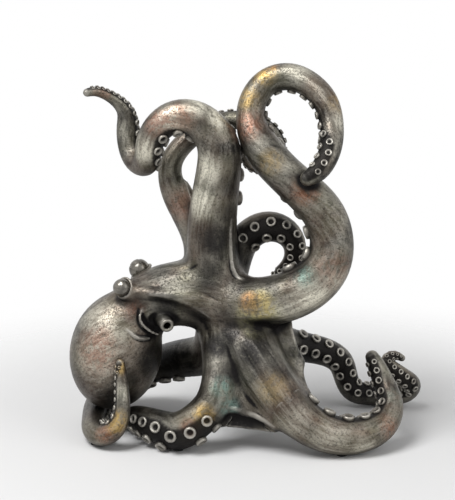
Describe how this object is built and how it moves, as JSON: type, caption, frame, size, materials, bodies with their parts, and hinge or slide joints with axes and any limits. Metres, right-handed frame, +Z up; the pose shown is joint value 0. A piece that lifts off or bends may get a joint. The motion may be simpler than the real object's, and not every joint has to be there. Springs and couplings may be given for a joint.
{
  "type": "octopus figurine",
  "caption": "Free-standing octopus ornament in patinated cold-cast metal, with raised curling arms, rows of suckers, bead eyes and felt feet.",
  "frame": {"origin": "on the table, under the middle of the ornament's bounding box", "axes": "+X to the animal's raised ring arm side as seen in the picture, +Y away from the viewer, +Z up"},
  "size_m": [0.2198, 0.1084, 0.2255],
  "materials": {
    "cold_cast_metal": "antiqued, rubbed highlights",
    "eye_bead": "polished",
    "steel_dowel": "satin",
    "felt": "matte"
  },
  "bodies": {
    "root": {"body_casting": "cold_cast_metal", "mantle_casting": "cold_cast_metal", "ring_arm": "cold_cast_metal", "hook_arm": "cold_cast_metal", "spiral_arm": "cold_cast_metal", "coil_arm": "cold_cast_metal", "front_foot_arm": "cold_cast_metal", "rear_foot_arm": "cold_cast_metal", "front_curl_arm": "cold_cast_metal", "mantle_wrap_arm": "cold_cast_metal", "ring_dowel": "steel_dowel", "hook_dowel": "steel_dowel", "spiral_dowel": "steel_dowel", "coil_dowel": "steel_dowel", "front_foot_dowel": "steel_dowel", "rear_foot_dowel": "steel_dowel", "front_curl_dowel": "steel_dowel", "mantle_wrap_dowel": "steel_dowel", "mantle_dowel": "steel_dowel", "near_eye": "eye_bead", "far_eye": "eye_bead", "front_foot_pad_1": "felt", "rear_foot_pad_1": "felt", "front_curl_pad_1": "felt", "mantle_wrap_pad_1": "felt", "mantle_wrap_pad_2": "felt"}
  },
  "joints": []
}
